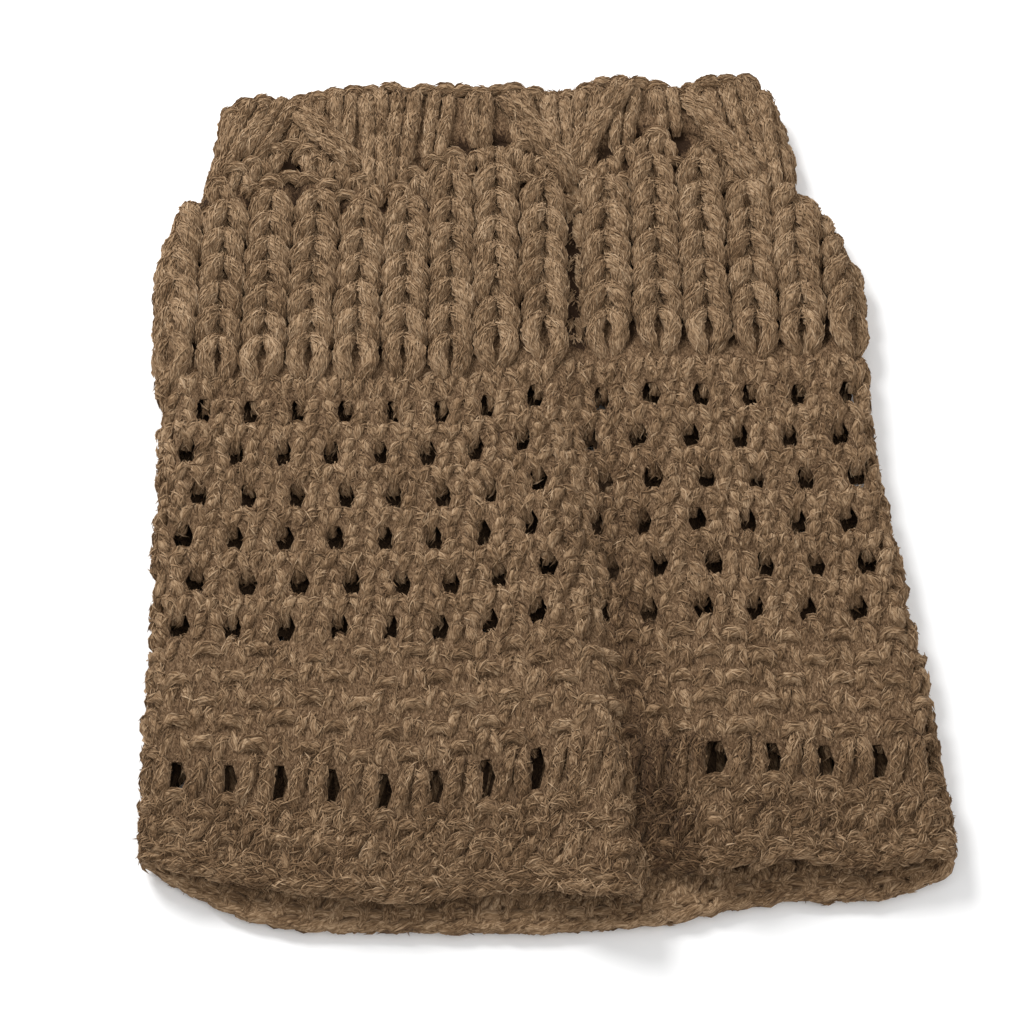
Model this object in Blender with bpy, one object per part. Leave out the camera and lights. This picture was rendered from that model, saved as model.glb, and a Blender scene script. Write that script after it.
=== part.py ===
"""A knitted leg warmer lying flat: one tube of two layers, folded along both sides.

Run with blender --background --python part.py, or from Blender's text editor.

The tube lies along Y, with its lower hem towards -Y and its fan edge towards +Y. The back
layer rests on the ground at z = 0 and the front layer lies on it. Each layer is knitted in
four zones: a fan band, a rib cuff, a lace body and a hem border. Sizes are in millimetres
and become metres when a mesh is made.
"""

import math
from collections import namedtuple

import bmesh
import bpy
import numpy as np

MM = 0.001

# The walls, and how the two layers lie
WALL = 3.0
SEAM_GAP = 0.3
ARCH_GAP = 0.5  # up the arches and shoulders, which lean by about 45 degrees
LAYER_GAP = 1.1  # between the layers away from the folds
FOLD_REACH = 4.0  # how far in from the side the cloth turns
FOLD_TURNS = (0, 30, 60)  # degrees round a fold, from the seam between the layers
FLAT = 90  # the turn at which the fold has become flat cloth
SIDE_X = 80.0  # where a row is read for the height along Y at which it meets a fold
FOLD_SPLIT = 4.2  # height of the seam between the layers
FOLD_BULGE = 1.6
BULGE_SPREAD = 7.0

# The wales: rib columns and eyelets stand on these lines across the front
COLUMN_LEFT = 10.35  # width of one rib column left of the crease
COLUMN_RIGHT = 10.8
COLUMNS_LEFT = 8  # whole columns between the left fold and the crease
COLUMNS_RIGHT = 5
FIRST_EDGE = -74.1  # left edge of the first whole column
CREASE_FROM = FIRST_EDGE + COLUMNS_LEFT * COLUMN_LEFT
CREASE_TO = CREASE_FROM + 4.1
RIB_LIFTS = (0.0, 1.9, 1.2, 1.9)  # the two legs of a column, in quarters of its width

# The courses: every row climbs a little where it crosses the crease
ROW_RISE = 4.4
RISE_FROM = -21.0
RISE_TO = 13.0
JUNCTION = 70.5  # where a fan's strands meet, left of the crease
SHOULDER_DROP = 12.0  # how much lower the cuff starts on the folds
SHOULDER_WIDTH = 10.0
STRAND_INSET = 2.5  # from the folds to the outermost strand of the fan band
ARCH_HEIGHT = 13.5  # from a junction to the crown between two fans
CROWN_HOLE = 4.5
CUFF_END = 21.7
BODY_END = -72.5
EYELET_ROW = 10.76
EYELET_ROWS = 6
FIRST_EYELETS = 11.8  # centre of the top row of eyelets
SAG = 2.0  # dip of the body's lower end left of the crease
SAG_AT = -27.0
SAG_SPREAD = 14.0

# The eyelets
EYELET_OFFSET = -3.35  # from the middle of a column
EYELET_ZIGZAG = 1.35  # alternate rows stand this much right and left of that
EYELET = dict(half_width=1.3, half_length=2.4, shoulder=1.0)
HEM_EYELET = dict(half_width=1.7, half_length=3.2, shoulder=1.4)
HEM_CELL = 0.38  # share of the hem border taken by its row of large eyelets

# The fans: where their ridges stand along the top edge and along an arch
FAN_HEADS = (0.0, 0.2, 0.4, 0.6, 0.8, 0.93, 1.0)
FAN_FEET = (0.0, 0.125, 0.25, 0.375, 0.625, 0.875, 1.0)
FAN_LIFTS = (0.3, 1.6, 0.2, 1.6, 0.2, 1.4, 0.8)
BAND_ROWS = (0.0, 0.3, 0.65, 1.0)
CUFF_ROWS = (0.0, 0.12, 0.4, 0.7, 1.0)

Side = namedtuple("Side", "along left right")
SIDES = (
    Side(108, -73.0, 58.5),
    Side(94, -73.5, 61.0),
    Side(80, -75.0, 63.8),
    Side(70, -78.8, 67.5),
    Side(64, -83.8, 73.2),
    Side(46, -86.3, 77.0),
    Side(28, -85.0, 77.0),
    Side(2, -82.0, 76.6),
    Side(-23, -81.5, 79.3),
    Side(-47, -80.5, 82.4),
    Side(-70, -80.2, 84.6),
    Side(-88, -79.4, 86.3),
    Side(-108, -78.5, 85.0),
)

Edge = namedtuple("Edge", "x along")
TOP_EDGE = (
    Edge(-73, 100.5),
    Edge(-50, 101.5),
    Edge(-33, 106.0),
    Edge(-10, 104.5),
    Edge(4, 102.5),
    Edge(18, 108.0),
    Edge(35, 105.5),
    Edge(46, 107.0),
    Edge(59, 98.5),
)
FRONT_HEM = (
    Edge(-78, -94.0),
    Edge(-70, -97.0),
    Edge(-45, -101.5),
    Edge(-26, -103.4),
    Edge(-6, -100.0),
    Edge(6, -98.0),
    Edge(14, -102.2),
    Edge(19, -97.2),
    Edge(42, -97.5),
    Edge(49, -94.2),
    Edge(68, -96.2),
    Edge(83, -93.8),
)
BACK_HEM = (
    Edge(-76, -96.0),
    Edge(-66, -100.5),
    Edge(-57, -105.5),
    Edge(-45, -107.8),
    Edge(2, -107.8),
    Edge(34, -103.5),
    Edge(50, -101.2),
    Edge(70, -101.0),
    Edge(85, -95.0),
)

# The folds that raise or sink the front, from the cuff's top to the hem
Fold = namedtuple("Fold", "name x_top x_hem spread lift_top lift_hem")
FOLDS_FROM = 60.0
FOLDS_TO = -100.0
FOLDS = (
    Fold("crest", 1.0, 11.0, 6.5, 0.9, 4.3),
    Fold("crease", 10.75, 22.0, 4.0, -1.2, -0.9),
    Fold("bank", 21.0, 43.0, 8.0, 0.8, 2.4),
    Fold("left swell", -45.0, -38.0, 14.0, 0.3, 1.2),
)

HemRow = namedtuple("HemRow", "share lift")
HEM_ROWS = (
    HemRow(0.0, 0.0),
    HemRow(HEM_CELL, 0.0),
    HemRow(0.45, 1.0),
    HemRow(0.54, 0.2),
    HemRow(0.63, 1.0),
    HemRow(0.72, 0.2),
    HemRow(0.82, 1.0),
    HemRow(0.91, 0.2),
    HemRow(1.0, 0.7),
)

Layer = namedtuple("Layer", "name seam_height outward hem")
FRONT = Layer("front", FOLD_SPLIT + SEAM_GAP / 2, 1, FRONT_HEM)
BACK = Layer("back", FOLD_SPLIT - SEAM_GAP / 2, -1, BACK_HEM)

# A spot on a layer's middle surface: turn says where it is on a fold, lift raises its outside
Spot = namedtuple("Spot", "x y turn lift")

YARN_COLOURS = {
    "fan_band": (0.174, 0.109, 0.064),
    "rib_cuff": (0.168, 0.105, 0.061),
    "lace_body": (0.162, 0.101, 0.058),
    "hem_border": (0.170, 0.107, 0.063),
}


def clear_scene():
    for obj in list(bpy.data.objects):
        bpy.data.objects.remove(obj, do_unlink=True)


def smooth(share):
    share = min(max(share, 0.0), 1.0)
    return share * share * (3 - 2 * share)


def mix(start, end, share):
    return start + (end - start) * share


def bell(distance, spread):
    return math.exp(-((distance / spread) ** 2))


def edge_at(table, x):
    return float(np.interp(x, [edge.x for edge in table], [edge.along for edge in table]))


def sides_at(y):
    """The left and right outlines at a place along the tube."""
    rows = SIDES[::-1]
    along = [row.along for row in rows]
    left = np.interp(y, along, [row.left for row in rows])
    right = np.interp(y, along, [row.right for row in rows])
    return float(left), float(right)


def row_rise(x):
    return ROW_RISE * smooth((x - RISE_FROM) / (RISE_TO - RISE_FROM))


def junctions():
    """The places across the front where the fans' strands meet."""
    crease = (CREASE_FROM + CREASE_TO) / 2
    return (FIRST_EDGE, FIRST_EDGE + 4 * COLUMN_LEFT, crease, CREASE_TO + 4 * COLUMN_RIGHT)


def arch(x):
    """The line between the fan band and the rib cuff."""
    places = junctions()
    lift = 0.0
    for start, end in zip(places, places[1:]):
        if start < x < end:
            lift = ARCH_HEIGHT * math.sin(math.pi * (x - start) / (end - start))
    beyond = max(places[0] - x, x - places[-1], 0.0)
    return JUNCTION + row_rise(x) + lift - SHOULDER_DROP * min(beyond / SHOULDER_WIDTH, 1.0)


def cuff_end(x):
    return CUFF_END + row_rise(x)


def body_end(x):
    return BODY_END + row_rise(x) - SAG * bell(x - SAG_AT, SAG_SPREAD)


def front_height(x, y):
    """Height of the middle of the front wall, away from the folds at the sides."""
    left, right = sides_at(y)
    share = min(max((FOLDS_FROM - y) / (FOLDS_FROM - FOLDS_TO), 0.0), 1.0)
    height = WALL + LAYER_GAP + WALL / 2
    for fold in FOLDS:
        centre = mix(fold.x_top, fold.x_hem, share**2)
        height += mix(fold.lift_top, fold.lift_hem, share**2) * bell(x - centre, fold.spread)
    inset = min(x - left, right - x) - WALL / 2 - FOLD_REACH
    height += FOLD_BULGE * bell(inset, BULGE_SPREAD)
    return max(height, WALL + SEAM_GAP + WALL / 2)


def height_of(layer, x, y):
    return front_height(x, y) if layer is FRONT else WALL / 2


def fold_end(side, y):
    """Where the fold on the left (-1) or the right (1) has become flat."""
    left, right = sides_at(y)
    return right - WALL / 2 - FOLD_REACH if side > 0 else left + WALL / 2 + FOLD_REACH


def on_flat(x, y):
    return min(max(x, fold_end(-1, y)), fold_end(1, y))


def surface_point(layer, spot, offset):
    """A point at an offset outwards from the layer's middle surface."""
    if spot.turn < FLAT:
        side = math.copysign(1, spot.x)
        turn = math.radians(spot.turn)
        flat_x = fold_end(side, spot.y)
        rise = height_of(layer, flat_x, spot.y) - layer.seam_height
        x = flat_x + side * FOLD_REACH * math.cos(turn)
        z = layer.seam_height + rise * math.sin(turn)
        normal = np.array((side * math.cos(turn) / FOLD_REACH, math.sin(turn) / rise))
    else:
        x = on_flat(spot.x, spot.y)
        z = height_of(layer, x, spot.y)
        slope = height_of(layer, x + 0.5, spot.y) - height_of(layer, x - 0.5, spot.y)
        normal = np.array((-slope, 1.0)) * layer.outward
    normal /= np.linalg.norm(normal)
    return (x + normal[0] * offset) * MM, spot.y * MM, (z + normal[1] * offset) * MM


def fold_row(side, y, lifts=None):
    """The spots of one row round a fold, in order from left to right."""
    lifts = lifts or (0.0,) * len(FOLD_TURNS)
    spots = [Spot(side * SIDE_X, y, turn, lift) for turn, lift in zip(FOLD_TURNS, lifts)]
    return spots if side < 0 else spots[::-1]


def between_folds(row_at, middle, lifts=None):
    """One row: the left fold, the spots between, and the right fold."""
    left_y, right_y = row_at(-SIDE_X), row_at(SIDE_X)
    return fold_row(-1, left_y, lifts) + middle + fold_row(1, right_y, lifts)


def column_edges():
    """Left and right edges of every whole column across the front."""
    left = [(FIRST_EDGE + i * COLUMN_LEFT, COLUMN_LEFT) for i in range(COLUMNS_LEFT)]
    right = [(CREASE_TO + i * COLUMN_RIGHT, COLUMN_RIGHT) for i in range(COLUMNS_RIGHT)]
    return [(start, start + width) for start, width in left + right]


def band_spots(layer):
    """The fan band: straight strands from the top edge down to the arches."""
    raised = layer is FRONT
    heads, feet = [], []
    places = junctions()
    for number, (start, end) in enumerate(zip(places, places[1:])):
        halves = [(head / 2, foot / 2, lift) for head, foot, lift in zip(FAN_HEADS, FAN_FEET, FAN_LIFTS)]
        halves += [(1 - head, 1 - foot, lift) for head, foot, lift in halves[-2::-1]]
        for head, foot, lift in halves[1 if number else 0 :]:
            heads.append((number, head, lift))
            feet.append((mix(start, end, foot), foot == 0.5))
    first_head = fold_end(-1, edge_at(TOP_EDGE, -SIDE_X)) + STRAND_INSET
    last_head = fold_end(1, edge_at(TOP_EDGE, SIDE_X)) - STRAND_INSET
    ends = (first_head, *places[1:-1], last_head)
    rows = []
    for share in BAND_ROWS:
        middle = []
        for (number, head, lift), (foot_x, crown) in zip(heads, feet):
            head_x = mix(ends[number], ends[number + 1], head)
            foot_y = arch(foot_x) + (CROWN_HOLE if crown else 0.0)
            x = mix(head_x, foot_x, share)
            y = mix(edge_at(TOP_EDGE, head_x), foot_y, share)
            middle.append(Spot(x, y, FLAT, lift if raised else 0.0))

        def side_row(x, share=share):
            return mix(edge_at(TOP_EDGE, x), arch(x), share)

        for side in (-1, 1):
            y = side_row(side * SIDE_X)
            end = Spot(fold_end(side, y), y, FLAT, 0.0)
            middle.insert(0 if side < 0 else len(middle), end)
        rows.append(between_folds(side_row, middle))
    return rows


def cuff_spots(layer):
    """The rib cuff: columns of two legs each, with gullies between."""
    raised = layer is FRONT
    rows = []
    for share in CUFF_ROWS:

        def row_at(x, share=share):
            return mix(arch(x) - ARCH_GAP, cuff_end(x) + SEAM_GAP / 2, share)

        edges = column_edges()
        marks = [(CREASE_FROM, 0.0), ((CREASE_FROM + CREASE_TO) / 2, 0.0), (edges[-1][1], 0.0)]
        for start, end in edges:
            marks += [(mix(start, end, quarter / 4), lift) for quarter, lift in enumerate(RIB_LIFTS)]
        middle = [Spot(x, row_at(x), FLAT, lift if raised else 0.0) for x, lift in sorted(marks)]
        for side, edge in ((-1, middle[0]), (1, middle[-1])):
            y = row_at(side * SIDE_X)
            end = Spot(fold_end(side, y), y, FLAT, RIB_LIFTS[1] if raised else 0.0)
            halfway_x = (end.x + on_flat(edge.x, edge.y)) / 2
            halfway = Spot(halfway_x, (y + edge.y) / 2, FLAT, RIB_LIFTS[2] if raised else 0.0)
            middle = [end, halfway, *middle] if side < 0 else [*middle, halfway, end]
        lifts = (0.0, 1.2, 1.9) if raised else None
        rows.append(between_folds(row_at, middle, lifts))
    return rows


def eyelet_lines(shift):
    """Edges and middles of the eyelet cells across the front, and where each cell starts."""
    marks, starts = [], []
    for start, end in column_edges():
        start, end = start + EYELET_OFFSET + shift, end + EYELET_OFFSET + shift
        if not marks or start > marks[-1] + 0.1:
            marks.append(start)
        starts.append(len(marks) - 1)
        marks += [(start + end) / 2, end]
    return marks, starts


def eyelet_row(row_at, shift, lift):
    """One line of the grid that carries eyelet cells."""
    marks, starts = eyelet_lines(shift)
    middle = [Spot(x, row_at(x), FLAT, lift) for x in marks]
    left_y, right_y = row_at(-SIDE_X), row_at(SIDE_X)
    right = fold_end(1, right_y)
    middle.insert(0, Spot(fold_end(-1, left_y), left_y, FLAT, lift))
    middle.append(Spot((right + marks[-1]) / 2, row_at((right + marks[-1]) / 2), FLAT, lift))
    middle.append(Spot(right, right_y, FLAT, lift))
    cells = [start + len(FOLD_TURNS) + 1 for start in starts]
    return between_folds(row_at, middle), cells


def body_spots(layer):
    """The lace body: rows of eyelets, then the plain ground of the seed stitch."""
    levels = [(lambda x: cuff_end(x) - SEAM_GAP / 2, 0.0)]
    for row in range(EYELET_ROWS + 1):
        level = FIRST_EYELETS + EYELET_ROW * (0.5 - row)
        levels.append((lambda x, level=level: level + row_rise(x), 0.0))
    seed_top = levels[-1][0]
    levels.append((lambda x: mix(seed_top(x), body_end(x), 0.5), 0.0))
    levels.append((lambda x: body_end(x) + SEAM_GAP / 2, 0.0))
    rows, eyelets = [], {}
    for number, (row_at, shift) in enumerate(levels):
        spots, cells = eyelet_row(row_at, shift, 0.0)
        rows.append(spots)
        if 1 <= number <= EYELET_ROWS:
            zigzag = EYELET_ZIGZAG * (1 if number % 2 else -1)
            for cell in cells:
                eyelets[(number, cell)] = dict(EYELET, shift=zigzag)
    return rows, eyelets


def hem_spots(layer):
    """The hem border: a row of large eyelets, then garter ridges down to the edge."""
    rows, eyelets = [], {}
    for number, hem_row in enumerate(HEM_ROWS):

        def row_at(x, share=hem_row.share):
            return mix(body_end(x) - SEAM_GAP / 2, edge_at(layer.hem, x), share)

        spots, cells = eyelet_row(row_at, 0.0, hem_row.lift if layer is FRONT else 0.0)
        rows.append(spots)
        if number == 0:
            for cell in cells:
                eyelets[(number, cell)] = dict(HEM_EYELET, shift=EYELET_ZIGZAG)
    return rows, eyelets


def eyelet_outline(hole, rows, row, line):
    """The six corners of an eyelet, as spots: top, then round by the right."""
    top, bottom = rows[row][line + 1], rows[row + 1][line + 1]
    x = (top.x + bottom.x) / 2 + hole["shift"]
    y = (top.y + bottom.y) / 2
    wide, long, shoulder = hole["half_width"], hole["half_length"], hole["shoulder"]
    right = ((0, long), (wide, shoulder), (wide, -shoulder))
    corners = (*right, *((-across, -along) for across, along in right))
    return [Spot(x + across, y + along, FLAT, 0.0) for across, along in corners]


def add_wall(name, layer, rows, eyelets, colour):
    """Makes one closed wall from a grid of spots, with eyelets cut through it."""
    bm = bmesh.new()

    def pair(spot):
        outer = bm.verts.new(surface_point(layer, spot, WALL / 2 + spot.lift))
        inner = bm.verts.new(surface_point(layer, spot, -WALL / 2))
        return outer, inner

    grid = [[pair(spot) for spot in row] for row in rows]

    def skin(corners):
        bm.faces.new([corner[0] for corner in corners])
        bm.faces.new([corner[1] for corner in reversed(corners)])

    def rim(first, second):
        bm.faces.new((first[0], second[0], second[1], first[1]))

    cut = set()
    for (row, line), hole in eyelets.items():
        cut |= {(row, line), (row, line + 1)}
        upper, lower = grid[row], grid[row + 1]
        outside = [upper[line + 1], upper[line + 2], lower[line + 2]]
        outside += [lower[line + 1], lower[line], upper[line]]
        inside = [pair(spot) for spot in eyelet_outline(hole, rows, row, line)]
        for i in range(len(outside)):
            following = (i + 1) % len(outside)
            skin((outside[i], outside[following], inside[following], inside[i]))
            rim(inside[i], inside[following])
    for row in range(len(grid) - 1):
        for line in range(len(grid[row]) - 1):
            if (row, line) not in cut:
                skin((grid[row][line], grid[row][line + 1], grid[row + 1][line + 1], grid[row + 1][line]))
    for edge in (grid[0], grid[-1], [row[0] for row in grid], [row[-1] for row in grid]):
        for first, second in zip(edge, edge[1:]):
            rim(first, second)
    bmesh.ops.recalc_face_normals(bm, faces=bm.faces)
    mesh = bpy.data.meshes.new(name)
    bm.to_mesh(mesh)
    bm.free()
    obj = bpy.data.objects.new(name, mesh)
    bpy.context.collection.objects.link(obj)
    mesh.materials.append(yarn_material(name, colour))
    return obj


def yarn_material(name, colour):
    material = bpy.data.materials.new(f"{name} yarn")
    material.use_nodes = True
    shader = material.node_tree.nodes["Principled BSDF"]
    shader.inputs["Base Color"].default_value = (*colour, 1.0)
    shader.inputs["Roughness"].default_value = 0.95
    shader.inputs["Metallic"].default_value = 0.0
    return material


def build_layer(layer):
    """The four zones of one layer, each its own closed wall."""
    body_rows, body_eyelets = body_spots(layer)
    hem_rows, hem_eyelets = hem_spots(layer)
    zones = (
        ("fan_band", band_spots(layer), {}),
        ("rib_cuff", cuff_spots(layer), {}),
        ("lace_body", body_rows, body_eyelets),
        ("hem_border", hem_rows, hem_eyelets),
    )
    for zone, rows, eyelets in zones:
        add_wall(f"{layer.name}_{zone}", layer, rows, eyelets, YARN_COLOURS[zone])


def main():
    clear_scene()
    for layer in (FRONT, BACK):
        build_layer(layer)


main()
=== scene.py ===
# Looks of the flat-lying knitted leg warmer: a thin cloth inside, and every stitch as yarn on it.
# The knitting is laid out on the flat form of the part, in millimetres, then made in metres.

import math
import random

import bmesh
import bpy
import numpy as np
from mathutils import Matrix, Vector


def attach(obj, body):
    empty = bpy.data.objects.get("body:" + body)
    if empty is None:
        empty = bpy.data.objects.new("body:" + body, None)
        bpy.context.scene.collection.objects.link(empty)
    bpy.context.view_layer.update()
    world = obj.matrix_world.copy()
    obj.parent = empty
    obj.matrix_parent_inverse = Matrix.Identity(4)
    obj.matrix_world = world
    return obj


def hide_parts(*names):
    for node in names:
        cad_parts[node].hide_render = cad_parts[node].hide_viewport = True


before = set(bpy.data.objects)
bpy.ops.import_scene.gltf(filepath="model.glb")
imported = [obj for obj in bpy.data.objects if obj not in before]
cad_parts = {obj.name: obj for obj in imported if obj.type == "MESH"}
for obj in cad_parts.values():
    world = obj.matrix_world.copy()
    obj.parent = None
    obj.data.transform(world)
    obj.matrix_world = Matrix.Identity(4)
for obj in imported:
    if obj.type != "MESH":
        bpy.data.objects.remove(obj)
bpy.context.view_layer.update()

mm = 0.001
draw = random.Random(7)
print("frame loaded:", len(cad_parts), "nodes")

# The form on which the cloth lies, as in the part

form = dict(
    wall=3.0, layerGap=1.1,
    foldReach=4.0,  # how far in from the side the cloth turns
    foldArc=5.4,  # length of cloth from there to the seam
    foldSplit=4.2,  # height of the seam between the layers
    foldBulge=1.6, bulgeSpread=7.0,
    foldsFrom=60.0, foldsTo=-100.0, foldBend=1.2, foldGrowth=1.8,
    press=0.3,  # how far the crease may sink into the layer below
    # painted shade in the crease valley: its strength, spread to the left and right, and growth towards the
    # hem
    valleyShade=2.8, valleyLeft=2.6, valleyRight=8.0, valleyGrowth=1.5,
    overhang=2.7,  # of the crest over the crease, at the hem
    overhangFrom=1.0, overhangSpread=3.0,
    bankPull=0.6,  # share by which the bank leans back over it
)

sides = [  # along, left, right
    (108, -72.0, 57.5), (94, -72.5, 60.0), (80, -73.4, 62.6), (70, -75.2, 62.3), (64, -81.4, 69.6),
    (46, -85.4, 76.6), (28, -84.0, 76.2), (2, -80.8, 75.8), (-23, -80.3, 79.0), (-47, -79.3, 82.0),
    (-70, -79.2, 84.0), (-88, -78.2, 85.4), (-108, -77.5, 84.0),
]
topEdge = [  # x, along
    (-73, 97.5), (-63, 99.2), (-53.5, 101.2), (-44, 103.2), (-34.5, 104.2), (-25, 104.4), (-16, 103.6),
    (-6, 104.0), (4, 102.2), (18, 106.4), (26, 105.6), (35, 104.4), (46, 106.2), (52, 106.8), (59, 98.5),
]
hemEdges = dict(
    front=[
        (-78, -94.0), (-70, -97.0), (-45, -101.5), (-26, -103.4), (-6, -101.0), (6, -101.2),
        (14.5, -104.4), (19, -103.2), (22.5, -95.8), (42, -97.5), (49, -94.2), (68, -96.2), (83, -93.8),
    ],
    back=[
        (-76, -93.5), (-70, -98.0), (-57, -104.8), (-45, -107.4), (2, -107.8), (26, -106.0), (38, -103.2),
        (50, -101.2), (70, -101.0), (85, -95.0),
    ],
)
folds = [  # xTop, xHem, spread to the left and to the right, liftTop, liftHem
    (1.0, 15.9, 10.0, 2.8, 0.9, 5.8),  # crest left of the crease, steep towards it
    (10.75, 24.0, 3.0, 8.0, -1.2, -2.2),  # crease
    (21.0, 41.0, 4.0, 14.0, 0.8, 3.4),  # bank right of it
    (-45.0, -38.0, 14.0, 14.0, 0.3, 1.2),  # swell of the left half
]
crest, crease, bank = folds[:3]

rows = dict(  # heights along the tube, left of the crease
    rise=4.4, riseFrom=-21.0, riseTo=13.0, junction=70.5, shoulderDrop=12.0, shoulderWidth=10.0,
    archHeight=13.5, cuffEnd=21.7, bodyEnd=-72.5, sag=2.0, sagAt=-27.0, sagSpread=14.0,
    firstEyelets=9.9, eyeletRow=10.6, eyeletRows=6, seedStart=-45.8,
)
columns = dict(
    left=10.35, right=10.8, firstEdge=-74.1, leftCount=8, rightCount=7, crease=4.1,
    outerLeft=-84.5, backCount=14, eyeletOffset=-3.35, creaseOffset=-0.65, zigzag=1.35,
)
stray = dict(  # how far the front's wales lie to the right of their columns in the lower half
    most=3.4, side=-90.0, sideWidth=50.0, pastCrease=0.4, creaseWidth=6.0,
    start=5.0, startLength=50.0, end=-48.0, endLength=25.0,
)


def clamp(value, low, high):
    return min(max(value, low), high)


def mix(start, end, share):
    return start + (end - start) * share


def smooth(share):
    share = clamp(share, 0.0, 1.0)
    return share * share * (3 - 2 * share)


def bell(distance, spread):
    return math.exp(-((distance / spread) ** 2))


def along(table, x):
    return float(np.interp(x, [row[0] for row in table], [row[1] for row in table]))


def sidesAt(y):
    ys = [row[0] for row in sides[::-1]]
    return tuple(float(np.interp(y, ys, [row[i] for row in sides[::-1]])) for i in (1, 2))


def foldEnds(y):  # where the folds have become flat
    left, right = sidesAt(y)
    inset = form["wall"] / 2 + form["foldReach"]
    return left + inset, right - inset


def seams(y):  # where one layer's cloth passes into the other's, counted along the cloth
    left, right = foldEnds(y)
    return left - form["foldArc"], right + form["foldArc"]


def towardsHem(y):
    return clamp((form["foldsFrom"] - y) / (form["foldsFrom"] - form["foldsTo"]), 0.0, 1.0)


def foldX(fold, down):  # a fold wanders to the right on its way down
    return mix(fold[0], fold[1], down ** form["foldBend"])


def frontHeight(x, y):  # middle of the front wall
    left, right = sidesAt(y)
    down = towardsHem(y)
    height = form["wall"] * 1.5 + form["layerGap"]
    for fold in folds:
        leftSpread, rightSpread, liftTop, liftHem = fold[2:]
        away = x - foldX(fold, down)
        lift = mix(liftTop, liftHem, down ** form["foldGrowth"])
        height += lift * bell(away, leftSpread if away < 0 else rightSpread)
    inset = min(x - left, right - x) - form["wall"] / 2 - form["foldReach"]
    height += form["foldBulge"] * bell(inset, form["bulgeSpread"])
    return max(height, form["wall"] * 1.5 - form["press"])


# painted shade along the crease valley
def valleyShadeMask(x, y):  # how deep in the crease's shade a point lies
    down = towardsHem(y)
    away = x - foldX(crease, down)
    spread = form["valleyLeft"] if away < 0 else form["valleyRight"]
    return down ** form["valleyGrowth"] * bell(away, spread)


def overhang(x, y):  # how far the crest leans to the right, over the crease
    down = towardsHem(y)
    start, spread = form["overhangFrom"], form["overhangSpread"]
    pull = bell(x - foldX(crest, down) - start, spread)
    pull -= form["bankPull"] * bell(x - foldX(bank, down) + start, spread)
    return form["overhang"] * down ** form["foldGrowth"] * pull


def place(layer, x, y, frontLift, backLift):
    # A point of the knitting: x counts along the cloth, past a fold onto the other layer
    arc = form["foldArc"]
    left, right = foldEnds(y)
    side = 1 if x > right else -1 if x < left else 0
    past = x - right if side > 0 else left - x if side < 0 else 0.0
    lift = mix(frontLift, backLift, clamp(2 * past / arc, 0.0, 1.0)) if layer == "front" else backLift
    if past > 1.5 * arc and layer == "back":
        lift = mix(backLift, frontLift, clamp(2 * past / arc - 3, 0.0, 1.0))
    if past > arc:
        layer = "back" if layer == "front" else "front"
        x = (right if side > 0 else left) + side * (2 * arc - past)
        past = max(2 * arc - past, 0.0)
        side = side if past > 0 else 0
    flatX = clamp(x, left, right)
    height = frontHeight(flatX, y) if layer == "front" else form["wall"] / 2
    outward = 1 if layer == "front" else -1
    if side:
        turn = (1 - past / arc) * math.pi / 2
        tall = height - form["foldSplit"]
        px = flatX + side * form["foldReach"] * math.cos(turn)
        pz = form["foldSplit"] + tall * math.sin(turn)
        nx, nz = side * math.cos(turn) / form["foldReach"], math.sin(turn) / tall
    else:
        px, pz = x, height
        nx, nz = 0.0, outward
        if layer == "front":
            nx = -(frontHeight(x + 0.5, y) - frontHeight(x - 0.5, y))
            px += overhang(x, y)
    size = math.hypot(nx, nz)
    return px + nx / size * lift, y, pz + nz / size * lift


def rise(x):
    return rows["rise"] * smooth((x - rows["riseFrom"]) / (rows["riseTo"] - rows["riseFrom"]))


creaseX = columns["firstEdge"] + columns["leftCount"] * columns["left"] + columns["crease"] / 2
junctions = [
    columns["firstEdge"],
    columns["firstEdge"] + 4 * columns["left"],
    creaseX,
    creaseX + columns["crease"] / 2 + 4 * columns["right"],
]


def arch(x):  # line between the fan band and the rib cuff
    lift = 0.0
    for start, end in zip(junctions, junctions[1:]):
        if start < x < end:
            lift = rows["archHeight"] * math.sin(math.pi * (x - start) / (end - start))
    beyond = max(junctions[0] - x, x - junctions[-1], 0.0)
    drop = rows["shoulderDrop"] * min(beyond / rows["shoulderWidth"], 1.0)
    return rows["junction"] + rise(x) + lift - drop


def cuffEnd(x):
    return rows["cuffEnd"] + rise(x)


def bodyEnd(x):
    return rows["bodyEnd"] + rise(x) - rows["sag"] * bell(x - rows["sagAt"], rows["sagSpread"])


def hemEnd(layer, x):
    return along(hemEdges[layer], x)


# Columns of two wales each, all round the tube


def columnEdges():  # of the front, in order, the outer ones reaching round the folds
    first = columns["firstEdge"]
    edges = [(columns["outerLeft"], first)]
    wide = columns["left"]
    edges += [(first + i * wide, first + (i + 1) * wide) for i in range(columns["leftCount"])]
    start, wide = edges[-1][1] + columns["crease"], columns["right"]
    edges += [(start + i * wide, start + (i + 1) * wide) for i in range(columns["rightCount"])]
    return edges


frontColumns = columnEdges()


def column(layer, number, y):  # left and right edges at a height along the tube
    if layer == "front":
        return frontColumns[number]
    left, right = seams(y)
    start = 2 * left - frontColumns[0][0]
    end = 2 * right - frontColumns[-1][1]
    width = (end - start) / columns["backCount"]
    return start + number * width, start + (number + 1) * width


def drift(layer, x, y):
    if layer == "back":
        return 0.0
    past = clamp((x - creaseX) / stray["creaseWidth"] + 0.5, 0.0, 1.0)
    share = clamp((x - stray["side"]) / stray["sideWidth"], 0.0, 1.0) * mix(1.0, stray["pastCrease"], past)
    started = smooth((stray["start"] - y) / stray["startLength"])
    ended = smooth((stray["end"] - y) / stray["endLength"])
    return stray["most"] * share * started * (1 - ended)


def columnCount(layer):
    return len(frontColumns) if layer == "front" else columns["backCount"]


# Yarn: strands are polylines with a thickness at each point, swept by Geometry Nodes


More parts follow.
